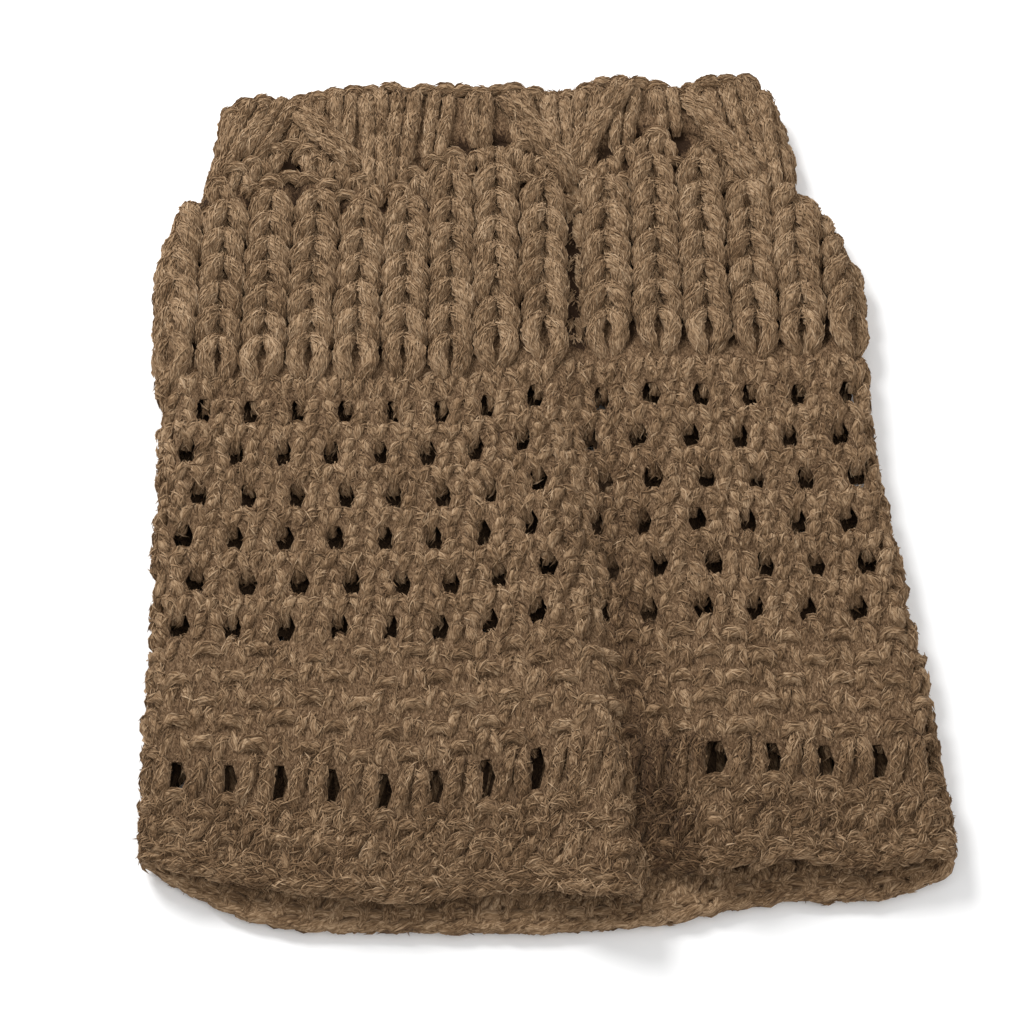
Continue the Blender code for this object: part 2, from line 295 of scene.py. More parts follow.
def addObject(name, data):
    made = bpy.data.objects.new(name, data)
    bpy.context.collection.objects.link(made)
    return made


class Skein:
    # the zone's offset is painted light (fan band, rib cuff) or painted shade (hem)
    def __init__(self, layer, zone, paintedLightShade=0.0):
        self.name, self.layer, self.paintedLightShade = layer + zone, layer, paintedLightShade
        self.points, self.edges, self.radii, self.tints, self.starts = [], [], [], [], []

    def strand(self, points, radii, shade=0.0):
        first = len(self.points)
        # random tone per strand, plus the zone's painted light or shade and the crease's painted shade
        tint, start = draw.random() + self.paintedLightShade - shade, draw.uniform(0, 0.5)
        self.points += [tuple(c * mm for c in point) for point in points]
        self.radii += [radius * mm for radius in radii]
        self.tints += [tint] * len(points)
        self.starts += [start] * len(points)
        self.edges += [(first + i, first + i + 1) for i in range(len(points) - 1)]


stitches = dict(  # strands of a stitch as across, along, lift and thickness, in its own sizes
    knit=[
        (0.76, -0.36, -1.1, 0.5), (0.92, -0.02, -0.2, 0.85), (0.84, 0.32, 0.32, 1.0),
        (0.58, 0.68, 0.42, 1.0), (0.30, 0.98, 0.15, 0.85), (0.12, 1.2, -0.8, 0.5),
    ],
    loop=[  # closes again at its lower end
        (0.28, -0.24, -1.0, 0.5), (0.52, 0.02, 0.0, 0.85), (0.84, 0.34, 0.4, 1.0),
        (0.80, 0.66, 0.42, 1.0), (0.42, 0.98, 0.15, 0.9), (0.12, 1.15, -0.7, 0.5),
    ],
    cord=[
        (1.0, -0.34, -0.9, 0.6), (1.04, -0.04, 0.0, 0.92), (1.0, 0.3, 0.36, 1.0),
        (0.96, 0.66, 0.42, 1.0), (0.94, 0.98, 0.2, 0.92), (0.9, 1.2, -0.8, 0.5),
    ],
    core=[  # the yarn that shows between the two legs
        (0.0, -0.2, -1.1, 0.6), (0.1, 0.12, -0.8, 0.88), (-0.1, 0.5, -0.72, 0.92),
        (0.1, 0.88, -0.8, 0.88), (0.0, 1.2, -1.1, 0.6),
    ],
    open=[
        (0.74, -0.40, -1.0, 0.5), (0.80, -0.05, -0.2, 0.85), (0.74, 0.30, 0.32, 1.0),
        (0.60, 0.66, 0.42, 1.0), (0.42, 0.98, 0.15, 0.85), (0.20, 1.22, -0.7, 0.5),
    ],
    bump=[
        (-1.05, 0.0, -1.1, 0.5), (-0.76, 0.34, 0.0, 0.9), (-0.28, 0.52, 0.45, 1.0),
        (0.28, 0.52, 0.45, 1.0), (0.76, 0.34, 0.0, 0.9), (1.05, 0.0, -1.1, 0.5),
    ],
    over=[
        (-1.0, -0.25, -1.0, 0.6), (-0.94, 0.15, -0.1, 0.8), (-0.62, 0.62, 0.1, 0.85),
        (0.0, 0.86, 0.1, 0.9), (0.62, 0.62, 0.1, 0.85), (0.94, 0.15, -0.1, 0.8), (1.0, -0.25, -1.0, 0.6),
    ],
)
mirrored = {"knit", "open", "loop", "cord"}
underside = dict(drop=1.45, squash=0.4, clearance=0.85)  # of the back's yarn, in yarn radii


def stitch(skein, kind, at, size, radius, lift=0.0, lean=0.0, uneven=0.05, clear=(), inward=False):
    # at is the middle of the stitch's lower end, size its half width and its length
    layer, (halfWidth, length) = skein.layer, size
    dx, dy = math.sin(lean), math.cos(lean)
    resting = form["wall"] / 2 - underside["drop"] * radius
    for side in (-1, 1) if kind in mirrored else (1,):
        grow = 1 + draw.gauss(0, uneven)
        shiftX, shiftY = draw.gauss(0, uneven * halfWidth), draw.gauss(0, uneven * length)
        flat = []
        for across, up, high, thick in stitches[kind]:
            a, b = side * across * halfWidth + shiftX, up * length + shiftY
            x, y = at[0] + a * dy + b * dx, at[1] + b * dy - a * dx
            flat.append((x, y, high * radius, thick * radius * grow))
        if any(math.hypot(x - hx, y - hy) < reach for x, y, *rest in flat[1:-1] for hx, hy, reach in clear):
            continue
        if inward:  # on the inner side of the back layer, where the hem shows it
            points = [place(layer, x, y, 0.0, -lift - high) for x, y, high, thick in flat]
        else:
            points = [
                place(layer, x, y, lift + high, resting + high * (1.0 if high > 0 else underside["squash"]))
                for x, y, high, thick in flat
            ]
        thicknesses = [thick for x, y, high, thick in flat]
        clearance = underside["clearance"]
        points = [(x, y, max(z, clearance * thick)) for (x, y, z), thick in zip(points, thicknesses)]
        # the front's strands are painted darker in the crease valley, as painted shade
        skein.strand(points, thicknesses, form["valleyShade"] * valleyShadeMask(*at) if layer == "front" else 0.0)


ribCuff = dict(
    level=45.0, length=7.0, radius=2.05, halfWidth=3.85, lift=1.25, shoulder=3.0, upperGap=1.0,
    crown=8.0, leftCrown=6.0, leftCrownAt=-53.0, leftCrownSpread=14.0,
    # the rib cuff's strands are painted lighter, as painted light
    lastLength=9.4, lastHalf=3.5, lastRadius=1.95, lastDrop=2.0, lastRise=0.55, paintedLightShade=0.45,
)
ribCrease = dict(length=5.6, halfWidth=1.5, radius=1.5, lift=-1.7, start=1.0, uneven=0.12)


def knitRibCuff(layer):
    skein = Skein(layer, "RibCuff", ribCuff["paintedLightShade"])
    lift = ribCuff["lift"]
    for number in range(columnCount(layer)):
        left, right = column(layer, number, ribCuff["level"])
        middle, share = (left + right) / 2, (right - left) / columns["left"]
        low, high = cuffEnd(middle), arch(middle)
        if junctions[0] < middle < junctions[-1]:  # small stitches fill the rest up to the arch
            leftward = bell(middle - ribCuff["leftCrownAt"], ribCuff["leftCrownSpread"])
            high -= ribCuff["crown"] + ribCuff["leftCrown"] * leftward
        else:
            high += ribCuff["shoulder"]
        y = low - ribCuff["lastDrop"] + ribCuff["lastRise"] * rise(middle)
        size = (ribCuff["lastHalf"] * share, ribCuff["lastLength"])
        stitch(skein, "loop", (middle, y), size, ribCuff["lastRadius"], lift)
        y += ribCuff["lastLength"]
        space = high - ribCuff["upperGap"] - y
        count = max(1, round(space / ribCuff["length"]))
        length = space / count
        for i in range(count):
            left, right = column(layer, number, y)
            size = (ribCuff["halfWidth"] * share, length)
            at = ((left + right) / 2, y)
            stitch(skein, "core", at, size, ribCuff["radius"], lift)
            stitch(skein, "knit", at, size, ribCuff["radius"], lift)
            y += length
        if layer == "front" and number == columns["leftCount"]:  # what lies deep in the crease
            knitCrease(skein, low + ribCrease["start"], high)
    return skein


def knitCrease(skein, low, high):
    length, uneven = ribCrease["length"], ribCrease["uneven"]
    size = (ribCrease["halfWidth"], length)
    for i in range(int((high - low) / length)):
        at = (creaseX, low + i * length)
        stitch(skein, "knit", at, size, ribCrease["radius"], ribCrease["lift"], uneven=uneven)


lace = dict(
    radius=1.47, halfWidth=2.5, lift=0.35, wideRadius=1.48, wideHalf=2.9, creaseHalf=2.3, uneven=0.08,
    plain=4.1, plainExtra=2.2, openCourse=6.5, backDrop=2.7,
)


def laceX(layer, number, y, shift, half):  # half: 0 at an eyelet, 1 between it and the next
    left, right = column(layer, number, y)
    x = mix(left, right, 0.5 + half / 2) + columns["eyeletOffset"] + shift
    return x + drift(layer, x, y)


def eyeletCentre(layer, row):  # the back's eyelets lie lower, so that none is seen through the front's
    centre = rows["firstEyelets"] - rows["eyeletRow"] * row
    return centre - (lace["backDrop"] * clamp((row + 1) / 2, 0.0, 1.0) if layer == "back" else 0.0)


def wales(layer, y, shift=0.0):  # every wale's place, and whether it has an eyelet (0) or not
    found = []
    for number in range(columnCount(layer)):
        found += [(laceX(layer, number, y, shift, half), half) for half in (0, 1)]
        if layer == "front" and number == columns["leftCount"]:
            found.append((creaseX + columns["creaseOffset"] + shift + drift(layer, creaseX, y), 2))
    return found


def knitLaceBody(layer):
    skein = Skein(layer, "LaceBody")
    lift = lace["lift"]
    for row in range(-1, rows["eyeletRows"]):
        centre = eyeletCentre(layer, row)
        shift = columns["zigzag"] * (1 if row % 2 == 0 else -1) * (row >= 0)
        for x, half in wales(layer, centre, shift):
            y = centre - lace["openCourse"] / 2 + rise(x)
            if row < rows["eyeletRows"] - 1:
                size = (lace["halfWidth"], lace["plain"] + (lace["plainExtra"] if row < 0 else 0.0))
                at = (x - shift / 2, y - lace["plain"])
                stitch(skein, "knit", at, size, lace["radius"], lift)
            if row < 0 or not half:
                continue
            size = (lace["wideHalf"] if half == 1 else lace["creaseHalf"], lace["openCourse"] / 2)
            for step in (0, 1):
                at = (x, y + step * lace["openCourse"] / 2)
                stitch(skein, "open", at, size, lace["wideRadius"], lift, uneven=lace["uneven"])
    knitSeed(skein)
    return skein


seed = dict(
    level=-60.0, rows=5, radius=1.55, halfWidth=2.9, lift=0.45, uneven=0.11,
    knitHalf=2.3, knitRadius=1.35, knitDrop=0.4,
)


def knitSeed(skein):
    lift, uneven = seed["lift"], seed["uneven"]
    for row in range(seed["rows"]):
        for x, half in wales(skein.layer, seed["level"]):
            top = rows["seedStart"] + rise(x)
            pitch = (top - bodyEnd(x)) / seed["rows"]
            at = (x, top - (row + 1) * pitch)
            if (row + half) % 2:
                size, radius = (seed["halfWidth"], pitch), seed["radius"]
                stitch(skein, "bump", at, size, radius, lift, uneven=uneven)
            else:
                size, radius = (seed["knitHalf"], pitch), seed["knitRadius"]
                stitch(skein, "knit", at, size, radius, lift - seed["knitDrop"], uneven=uneven)


hem = dict(
    # the hem's strands are painted darker, as painted shade
    level=-85.0, radius=1.5, halfWidth=2.8, pitch=4.4, lift=0.35, lean=0.15, uneven=0.11, paintedLightShade=-0.45,
    knitHalf=2.3, knitDrop=0.4, edgeGap=3.4, slitHalf=2.7, slitShare=1.3, slitDrop=0.8, slitLift=0.3,
    slitLean=0.5,
)
hemEyelet = dict(  # the large eyelets; lengths and tops are shares of a cell's length
    cell=0.38, postHalf=2.9, postLength=0.97, postRadius=1.7, creasePostHalf=2.0, lean=0.14,
    overHalf=2.4, overLength=0.3, overRadius=0.9, overTop=0.22, overDrop=0.4,
    footSize=(2.7, 4.0), footTop=1.14, closedFrom=10.0, closedTo=32.0,
)
innerHem = dict(  # the back layer's inner side, which shows below the front's hem
    level=-98.0, overlap=6.0, edgeGap=6.5, sideGap=1.0, length=4.0, drop=3.0, pitch=3.6, lean=0.2,
    chainLift=0.2,
)
hemChain = dict(level=-98.0, pitch=5.6, halfWidth=1.5, radius=1.35, inset=2.7, uneven=0.07)


def inClosedCell(layer, x):
    return layer == "front" and hemEyelet["closedFrom"] < x < hemEyelet["closedTo"]


def knitHemEyelet(skein, x, top, cell, half):
    lift, given = hem["lift"], hemEyelet
    if half:
        size = (given["postHalf"] if half == 1 else given["creasePostHalf"], cell * given["postLength"])
        stitch(skein, "open", (x, top - cell), size, given["postRadius"], lift, given["lean"])
        return
    at, size = (x, top - cell * given["overTop"]), (given["overHalf"], cell * given["overLength"])
    stitch(skein, "over", at, size, given["overRadius"], lift - given["overDrop"])
    at = (x, top - cell * given["footTop"])
    stitch(skein, "bump", at, given["footSize"], hem["radius"], lift)


def knitHemBorder(layer):
    skein = Skein(layer, "HemBorder", hem["paintedLightShade"])
    lift, uneven, radius, lean = hem["lift"], hem["uneven"], hem["radius"], hem["slitLean"]
    for x, half in wales(layer, hem["level"], columns["zigzag"]):
        if inClosedCell(layer, x):
            half = half or 1
        top, end = bodyEnd(x), hemEnd(layer, x) + hem["edgeGap"]
        cell = (bodyEnd(x) - hemEnd(layer, x)) * hemEyelet["cell"]
        knitHemEyelet(skein, x, top, cell, half)
        count = max(3, round((top - cell - end) / hem["pitch"]))
        pitch = (top - cell - end) / count
        y = top - cell
        for row in range(count):
            y -= pitch
            if row == count - 2 and half == 1:
                at, size = (x, y - hem["slitDrop"]), (hem["slitHalf"], pitch * hem["slitShare"])
                stitch(skein, "open", at, size, radius, lift + hem["slitLift"], lean, uneven)
            elif (row + half) % 2:
                size = (hem["halfWidth"], pitch)
                stitch(skein, "bump", (x, y), size, radius, lift, hem["lean"], uneven)
            size = (hem["knitHalf"], pitch)
            stitch(skein, "knit", (x, y), size, radius, lift - hem["knitDrop"], lean / 2, uneven)
    knitEdge(skein, lift, False)
    if layer == "back":
        knitInnerHem(skein)
        knitEdge(skein, innerHem["chainLift"], True)
    return skein


def knitInnerHem(skein):
    left, right = foldEnds(innerHem["level"])
    gap, lean, uneven = innerHem["sideGap"], innerHem["lean"], hem["uneven"]
    for x, half in wales(skein.layer, innerHem["level"]):
        if not left - gap < x < right + gap:
            continue
        y, row = hemEnd("front", x) + innerHem["overlap"], 0
        end = hemEnd(skein.layer, x) + innerHem["edgeGap"]
        while y > end:
            kind = "bump" if (row + half) % 2 else "knit"
            at = (x, y - innerHem["drop"])
            size = (hem["halfWidth"] if kind == "bump" else hem["knitHalf"], innerHem["length"])
            stitch(skein, kind, at, size, hemChain["radius"], 0.0, lean, uneven, inward=True)
            y, row = y - innerHem["pitch"], row + 1


def knitEdge(skein, lift, inward):  # the chain along the hem's edge
    left, right = seams(hemChain["level"])
    count = round((right - left) / hemChain["pitch"])
    pitch = (right - left) / count
    for i in range(count):
        x = left + i * pitch
        y, nextY = (hemEnd(skein.layer, start) + hemChain["inset"] for start in (x, x + pitch))
        lean = math.pi / 2 - math.atan2(nextY - y, pitch)
        size, radius = (hemChain["halfWidth"], math.hypot(nextY - y, pitch)), hemChain["radius"]
        stitch(skein, "knit", (x, y), size, radius, lift, lean, hemChain["uneven"], inward=inward)


fan = dict(
    headLevel=100.0, footLevel=70.0, wholeFrom=30.0, columns=5, sideColumn=6.0, pitch=6.2, radius=2.05,
    footRadius=1.4, footLift=0.5, footHalf=0.17, sideFootHalf=0.24, headHalf=0.25, headInset=5.8,
    # the fan band's strands are painted lighter, as painted light
    gather=1.35, lift=0.9, uneven=0.08, paintedLightShade=0.45,
)
topChain = dict(pitch=4.2, halfWidth=2.7, length=4.0, radius=1.55, inset=6.4, drop=0.7, uneven=0.1)
crown = dict(  # small uneven stitches under an arch
    drops=(-3.4, -7.4, -11.4), pitch=4.3, length=4.6, radius=1.45, lift=-0.5, rowLift=-0.3, uneven=0.12,
    kinds=(("bump", 0.6, 0.5), ("knit", 0.46, 0.9)),  # half width and first place, in pitches
    endGap=0.4,
)
thick = dict(radius=1.6, halfWidth=1.35, lift=2.0, pitch=9.0)
thickStrands = [  # lower end, then upper end
    (-41.6, 79.3, -53.9, 92.6), (8.7, 75.3, -4.0, 95.5), (11.8, 80.2, 23.6, 101.0),
    (51.1, 75.3, 38.8, 96.0),
]
crownHoles = [  # x, along, radius
    (-53.8, 77.8, 2.7), (-16.1, 83.1, 1.7), (-7.2, 85.2, 1.8), (18.7, 81.6, 1.6), (26.0, 87.0, 1.6),
    (35.4, 85.6, 2.0),
]


def fans(layer):  # head start, head end, foot start, foot end
    headLeft, headRight = foldEnds(fan["headLevel"])
    heads = [headLeft, *junctions[1:-1], headRight]
    found = [(heads[i], heads[i + 1], junctions[i], junctions[i + 1]) for i in range(3)]
    if layer == "front":  # part fans that pass round the folds
        topLeft, topRight = seams(fan["headLevel"])
        footLeft, footRight = seams(fan["footLevel"])
        found.insert(0, (2 * topLeft - headLeft, headLeft, 2 * footLeft - junctions[0], junctions[0]))
        found.append((headRight, 2 * topRight - headRight, junctions[-1], 2 * footRight - junctions[-1]))
    return found


def footOf(x):  # arch height at a place that may lie past a seam
    left, right = seams(fan["footLevel"])
    return arch(2 * left - x if x < left else 2 * right - x if x > right else x)


def knitColumn(skein, foot, head, pitch, widths, radii, lift):
    length = math.hypot(head[0] - foot[0], head[1] - foot[1])
    lean = math.atan2(head[0] - foot[0], head[1] - foot[1])
    count = max(2, round(length / pitch))
    for k in range(count):
        at = (mix(foot[0], head[0], k / count), mix(foot[1], head[1], k / count))
        size = (mix(*widths, k / count), length / count)
        stitch(skein, "cord", at, size, mix(*radii, k / count), lift, lean, fan["uneven"])


def knitFan(skein, headStart, headEnd, footStart, footEnd, whole):
    count = fan["columns"] if whole else max(2, round((footEnd - footStart) / fan["sideColumn"]))
    spacing, footSpacing = (headEnd - headStart) / count, (footEnd - footStart) / count
    footHalf = fan["footHalf"] if whole else fan["sideFootHalf"]
    radii = (fan["footRadius"], fan["radius"])
    for i in range(count):
        share = (i + 0.5) / count
        nearer = share if share < 0.5 else 1 - share
        foot = (2 * nearer) ** fan["gather"] / 2 if whole else nearer
        foot = foot if share < 0.5 else 1 - foot
        headX, footX = mix(headStart, headEnd, share), mix(footStart, footEnd, foot)
        low, high = footOf(footX) + fan["footLift"], along(topEdge, headX) - fan["headInset"]
        widths = (footSpacing * footHalf, spacing * fan["headHalf"])
        knitColumn(skein, (footX, low), (headX, high), fan["pitch"], widths, radii, fan["lift"])


def knitCrown(skein, footStart, footEnd):  # under the arch, down to the rib
    clear = crownHoles if skein.layer == "front" else []
    for row, drop in enumerate(crown["drops"]):
        kind, half, first = crown["kinds"][row % 2]
        lift = fan["lift"] + crown["lift"] + crown["rowLift"] * row
        x = footStart + crown["pitch"] * first
        while x < footEnd - crown["pitch"] * crown["endGap"]:
            size = (crown["pitch"] * half, crown["length"])
            at = (x, arch(x) + drop)
            stitch(skein, kind, at, size, crown["radius"], lift, 0.0, crown["uneven"], clear)
            x += crown["pitch"]


def knitFanBand(layer):
    skein = Skein(layer, "FanBand", fan["paintedLightShade"])
    for headStart, headEnd, footStart, footEnd in fans(layer):
        whole = footEnd - footStart > fan["wholeFrom"]
        knitFan(skein, headStart, headEnd, footStart, footEnd, whole)
        if whole:
            knitCrown(skein, footStart, footEnd)
    left, right = seams(fan["headLevel"])
    size, lift = (topChain["halfWidth"], topChain["length"]), fan["lift"] - topChain["drop"]
    for i in range(round((right - left) / topChain["pitch"])):  # closes the top edge
        x = left + (i + 0.5) * topChain["pitch"]
        at = (x, along(topEdge, x) - topChain["inset"])
        stitch(skein, "bump", at, size, topChain["radius"], lift, 0.0, topChain["uneven"])
    if layer == "front":
        widths, radii = (thick["halfWidth"],) * 2, (thick["radius"],) * 2
        for strand in thickStrands:
            ends = strand[:2], strand[2:]
            knitColumn(skein, *ends, thick["pitch"], widths, radii, thick["lift"])
    return skein


knitters = dict(FanBand=knitFanBand, RibCuff=knitRibCuff, LaceBody=knitLaceBody, HemBorder=knitHemBorder)
nodeOf = dict(FanBand="fan_band", RibCuff="rib_cuff", LaceBody="lace_body", HemBorder="hem_border")

# Shader maths written as expressions


class Wire:
    def __init__(self, tree, socket):
        self.tree, self.socket = tree, socket

    def calc(self, operation, first, second=None):
        node = self.tree.nodes.new("ShaderNodeMath")
        node.operation = operation
        for socket, value in zip(node.inputs, (first, second)):
            if isinstance(value, Wire):
                self.tree.links.new(value.socket, socket)
            elif value is not None:
                socket.default_value = value
        return Wire(self.tree, node.outputs[0])

    def __add__(self, other):
        return self.calc("ADD", self, other)

    def __radd__(self, other):
        return self.calc("ADD", other, self)

    def __sub__(self, other):
        return self.calc("SUBTRACT", self, other)

    def __rsub__(self, other):
        return self.calc("SUBTRACT", other, self)

    def __mul__(self, other):
        return self.calc("MULTIPLY", self, other)

    def __rmul__(self, other):
        return self.calc("MULTIPLY", other, self)


class Shader:
    def __init__(self, name):
        self.material = bpy.data.materials.new(name)
        self.material.use_nodes = True
        self.tree = self.material.node_tree
        self.surface = self.tree.nodes["Principled BSDF"]

    def node(self, kind, settings=None, inputs=None, output=0):
        made = self.tree.nodes.new(kind)
        for key, value in (settings or {}).items():
            if key == "stops":
                while len(made.color_ramp.elements) < len(value):
                    made.color_ramp.elements.new(0.5)
                for element, (position, colour) in zip(made.color_ramp.elements, value):
                    element.position, element.color = position, (*colour, 1.0)
            else:
                setattr(made, key, value)
        for key, value in (inputs or {}).items():
            self.feed(made.inputs[key], value)
        return Wire(self.tree, made.outputs[output])

    def feed(self, socket, value):
        if isinstance(value, Wire):
            self.tree.links.new(value.socket, socket)
        else:
            socket.default_value = value


def linear(*colour):  # from the 0 to 255 values of a screen
    return tuple((c / 255 / 12.92) if c <= 10 else ((c / 255 + 0.055) / 1.055) ** 2.4 for c in colour)


yarnLook = dict(
    stops=[(0.1, (62, 43, 28)), (0.4, (112, 87, 62)), (0.62, (151, 124, 95)), (0.98, (188, 162, 132))],
    fibresAcross=1700.0, fibresAlong=440.0, twist=260.0, detail=3.0, fine=0.6, wavy=1.6,
    contrast=1.7, toneAndPaintedLightShare=0.12, patchScale=140.0, patchShare=0.5,
    bump=0.5, bumpDepth=0.0006,
    surface={
        "Roughness": 0.95, "Specular IOR Level": 0.12, "Sheen Weight": 0.2, "Sheen Roughness": 0.6,
        "Sheen Tint": (*linear(200, 180, 155), 1.0),
    },
)


def finishFibres(look, given, fibres, fac):
    stops = [(position, linear(*colour)) for position, colour in given["stops"]]
    colour = look.node("ShaderNodeValToRGB", dict(stops=stops), {"Fac": fac})
    settings = {"Height": fibres, "Strength": given["bump"], "Distance": given["bumpDepth"]}
    normal = look.node("ShaderNodeBump", inputs=settings)
    for name, value in {"Base Color": colour, "Normal": normal, **given["surface"]}.items():
        look.feed(look.surface.inputs[name], value)
    return look.material


def yarnMaterial(given):
    look = Shader("brushed wool yarn")
    strand = look.node("ShaderNodeAttribute", dict(attribute_name="strand"), output=1)
    tint = look.node("ShaderNodeAttribute", dict(attribute_name="tint"), output=2)
    length = look.node("ShaderNodeSeparateXYZ", inputs={0: strand}, output=2)
    turning = {"Vector": strand, "Angle": length * given["twist"]}
    turned = look.node("ShaderNodeVectorRotate", dict(rotation_type="Z_AXIS"), turning)
    scale = (given["fibresAcross"], given["fibresAcross"], given["fibresAlong"])
    space = look.node("ShaderNodeMapping", inputs={"Vector": turned, "Scale": scale})
    grain = {"Detail": given["detail"], "Roughness": given["fine"]}
    settings = {"Vector": space, "Scale": 1.0, **grain, "Distortion": given["wavy"]}
    fibres = look.node("ShaderNodeTexNoise", inputs=settings)
    coordinates = look.node("ShaderNodeTexCoord", output=3)
    settings = {"Vector": coordinates, "Scale": given["patchScale"], **grain}
    patches = look.node("ShaderNodeTexNoise", inputs=settings) - 0.5
    # random tone with painted light and shade moves each strand along the colour ramp
    shade = (fibres - 0.5) * given["contrast"] + (tint - 0.5) * given["toneAndPaintedLightShare"]
    shade = shade + patches * given["patchShare"] + 0.5
    return finishFibres(look, given, fibres, shade)


clothLook = dict(
    scale=(1500.0, 700.0, 1500.0), detail=3.0, fine=0.65, wavy=1.8, paintedShadeShare=0.24,
    bump=0.8, bumpDepth=0.0006, surface={"Roughness": 0.95, "Specular IOR Level": 0.1},
)
outerStops = [(0.3, (46, 32, 21)), (0.5, (104, 81, 59)), (0.68, (148, 122, 95))]
# the tube's inner side: darker stops, painted shade inside the tube
innerShadeStops = [(0.36, (50, 37, 27)), (0.66, (90, 70, 52))]


def clothMaterial(name, given, stops):  # matted fibres of the cloth between the stitches
    look = Shader(name)
    coordinates = look.node("ShaderNodeTexCoord", output=3)
    space = look.node("ShaderNodeMapping", inputs={"Vector": coordinates, "Scale": given["scale"]})
    settings = {"Vector": space, "Scale": 1.0, "Detail": given["detail"], "Roughness": given["fine"]}
    fibres = look.node("ShaderNodeTexNoise", inputs={**settings, "Distortion": given["wavy"]})
    # darker where painted shade is given
    sunk = look.node("ShaderNodeAttribute", dict(attribute_name="sunk"), output=2)
    return finishFibres(look, dict(given, stops=stops), fibres, fibres - sunk * given["paintedShadeShare"])


yarn = yarnMaterial(yarnLook)
outerCloth = clothMaterial("matted wool between stitches", clothLook, outerStops)
shadedInnerFace = clothMaterial("shaded inner face", clothLook, innerShadeStops)
print("materials made")

# The sweep that turns strands into yarn, with loose fibres over it


class Nodes:
    def __init__(self, name):
        self.tree = bpy.data.node_groups.new(name, "GeometryNodeTree")

    def socket(self, name, kind, default=None, output=False):
        side = "OUTPUT" if output else "INPUT"
        made = self.tree.interface.new_socket(name, in_out=side, socket_type=kind)
        if default is not None:
            made.default_value = default
        return made.identifier

    def add(self, kind, settings=None, inputs=None):
        made = self.tree.nodes.new(kind)
        for key, value in (settings or {}).items():
            setattr(made, key, value)
        for key, value in (inputs or {}).items():
            if isinstance(value, bpy.types.NodeSocket):
                self.tree.links.new(value, made.inputs[key])
            else:
                made.inputs[key].default_value = value
        return made

    def value(self, kind, settings=None, inputs=None, output=0):
        return self.add(kind, settings, inputs).outputs[output]

    def capture(self, geometry, **fields):
        made = self.add("GeometryNodeCaptureAttribute", inputs={"Geometry": geometry})
        for name, (kind, socket) in fields.items():
            made.capture_items.new(kind, name)
            self.tree.links.new(socket, made.inputs[name])
        return made.outputs

    def store(self, geometry, name, value, kind="FLOAT", domain="POINT"):
        settings = dict(data_type=kind, domain=domain)
        inputs = {"Geometry": geometry, "Name": name, "Value": value}
        return self.value("GeometryNodeStoreNamedAttribute", settings, inputs)

    def named(self, name):
        return self.value("GeometryNodeInputNamedAttribute", dict(data_type="FLOAT"), {"Name": name})


fibre = dict(
    length=2.9, height=0.42, halfWidth=0.105, root=0.1, tilt=0.25, smallest=0.55, largest=1.35,
    facing=0.1, placeSeed=11, turnSeed=3, sizeSeed=5, shadeSeed=9,
)


def fibreForm():  # a sliver, its middle raised
    half, height, wide = fibre["length"] / 2 * mm, fibre["height"] * mm, fibre["halfWidth"] * mm
    mesh = bpy.data.meshes.new("fibre")
    mesh.from_pydata(
        [(-half, 0, -fibre["root"] * mm), (half, 0, 0), (0, -wide, height), (0, wide, height)], [],
        [(0, 2, 3), (1, 3, 2), (0, 1, 2), (1, 0, 3)],
    )
    return bpy.data.objects.new("fibre", mesh)


fibreObject = fibreForm()


def sweepYarn(build, given):  # the strands as round yarn, with each point's place in its strand
    lines = build.value("GeometryNodeMeshToCurve", inputs={"Mesh": given["Geometry"]})
    rounded = dict(spline_type="CATMULL_ROM")
    bent = build.value("GeometryNodeCurveSplineType", rounded, {"Curve": lines})
    rings = build.value("GeometryNodeResampleCurve", inputs={"Curve": bent, "Count": given["Rings"]})
    length = build.value("GeometryNodeSplineParameter", output="Length")
    tangent = build.value("GeometryNodeInputTangent")
    rail = build.capture(rings, length=("FLOAT", length), grain=("VECTOR", tangent))
    ring = {"Resolution": given["Sides"], "Radius": 1.0}
    circle = build.value("GeometryNodeCurvePrimitiveCircle", inputs=ring)
    profile = build.capture(circle, around=("VECTOR", build.value("GeometryNodeInputPosition")))
    thick = build.named("thick")
    path = {"Curve": rail["Geometry"], "Profile Curve": profile["Geometry"], "Scale": thick}
    swept = build.value("GeometryNodeCurveToMesh", inputs={**path, "Fill Caps": True})
    total = build.value("ShaderNodeMath", inputs={0: rail["length"], 1: build.named("start")})
    around = {0: profile["around"], "Scale": thick}
    across = build.value("ShaderNodeVectorMath", dict(operation="SCALE"), around)
    parts = build.add("ShaderNodeSeparateXYZ", inputs={0: across}).outputs
    strand = build.value("ShaderNodeCombineXYZ", inputs={0: parts[0], 1: parts[1], 2: total})
    stored = build.store(swept, "strand", strand, "FLOAT_VECTOR")
    return build.value("GeometryNodeSetShadeSmooth", inputs={"Geometry": stored}), rail["grain"]


